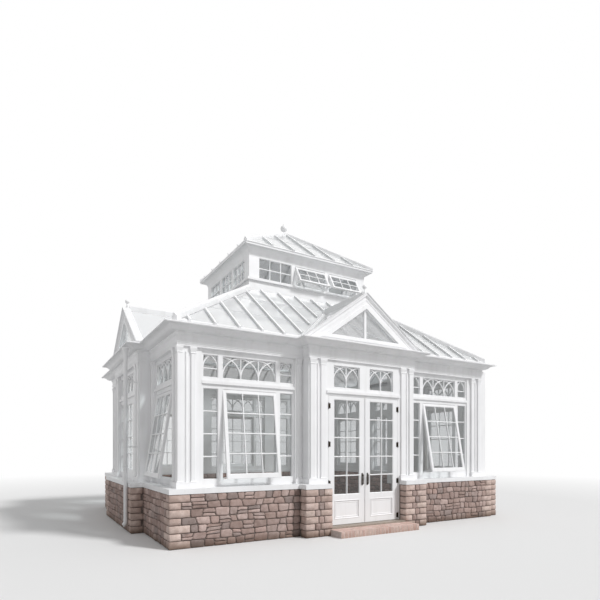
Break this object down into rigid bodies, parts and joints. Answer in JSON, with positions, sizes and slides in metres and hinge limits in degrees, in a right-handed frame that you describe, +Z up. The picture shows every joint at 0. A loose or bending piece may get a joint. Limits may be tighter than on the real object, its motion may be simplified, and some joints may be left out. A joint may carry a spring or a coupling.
{
  "type": "orangery greenhouse",
  "caption": "White glazed orangery on a fieldstone base, with a hipped glass roof, glazed gables, a lantern and a pair of hinged front doors.",
  "frame": {"origin": "middle of the main plan, on the ground under the floor slab", "axes": "+X to the right along the front, +Y from the front to the back, +Z up"},
  "size_m": [7.9202, 6.93, 7.085],
  "materials": {
    "fieldstone": "rough fieldstone masonry",
    "floor_stone": "honed stone paving",
    "step_brick": "weathered brick",
    "painted_timber": "white gloss paint on timber",
    "glazing": "clear glazing",
    "bronze_hardware": "dark bronze",
    "white_metal": "white paint on metal"
  },
  "bodies": {
    "building": {"back_cornice": "painted_timber", "back_windows": "painted_timber", "bay_pilasters": "painted_timber", "closed_sashes": "painted_timber", "corner_pilasters": "painted_timber", "door_frame": "painted_timber", "door_step": "step_brick", "door_threshold": "floor_stone", "downpipe": "white_metal", "eaves_beams": "painted_timber", "floor_slab": "floor_stone", "front_cornice": "painted_timber", "front_windows": "painted_timber", "gable_frames": "painted_timber", "gable_glass": "glazing", "gable_ridges": "painted_timber", "hip_rafters": "painted_timber", "lantern_cornice": "painted_timber", "lantern_curb": "painted_timber", "lantern_finial": "white_metal", "lantern_frame": "painted_timber", "lantern_glass": "glazing", "lantern_roof_bars": "painted_timber", "lantern_roof_glass": "glazing", "lantern_sash": "painted_timber", "left_cornice": "painted_timber", "left_windows": "painted_timber", "main_roof_glass": "glazing", "open_sashes": "painted_timber", "portico_pilasters": "painted_timber", "right_cornice": "painted_timber", "right_windows": "painted_timber", "roof_rafters": "painted_timber", "sash_glass": "glazing", "sills": "painted_timber", "stone_base_back": "fieldstone", "stone_base_front": "fieldstone", "stone_base_left": "fieldstone", "stone_base_right": "fieldstone", "valley_bars": "painted_timber", "wall_pilasters": "painted_timber", "wall_plates": "painted_timber", "window_glass": "glazing"},
    "door_left": {"door_glass_left": "glazing", "door_handle_left": "bronze_hardware", "door_hinges_left": "bronze_hardware", "door_leaf_left": "painted_timber"},
    "door_right": {"door_glass_right": "glazing", "door_handle_right": "bronze_hardware", "door_hinges_right": "bronze_hardware", "door_leaf_right": "painted_timber"}
  },
  "joints": [
    {"name": "door_left_hinge", "type": "hinge", "parent": "building", "child": "door_left", "pos_m": [-0.82, -3.1983, 0.148], "axis": [0, 0, -1], "range_deg": [0, 100]},
    {"name": "door_right_hinge", "type": "hinge", "parent": "building", "child": "door_right", "pos_m": [0.82, -3.1983, 0.148], "axis": [0, 0, 1], "range_deg": [0, 100]}
  ]
}
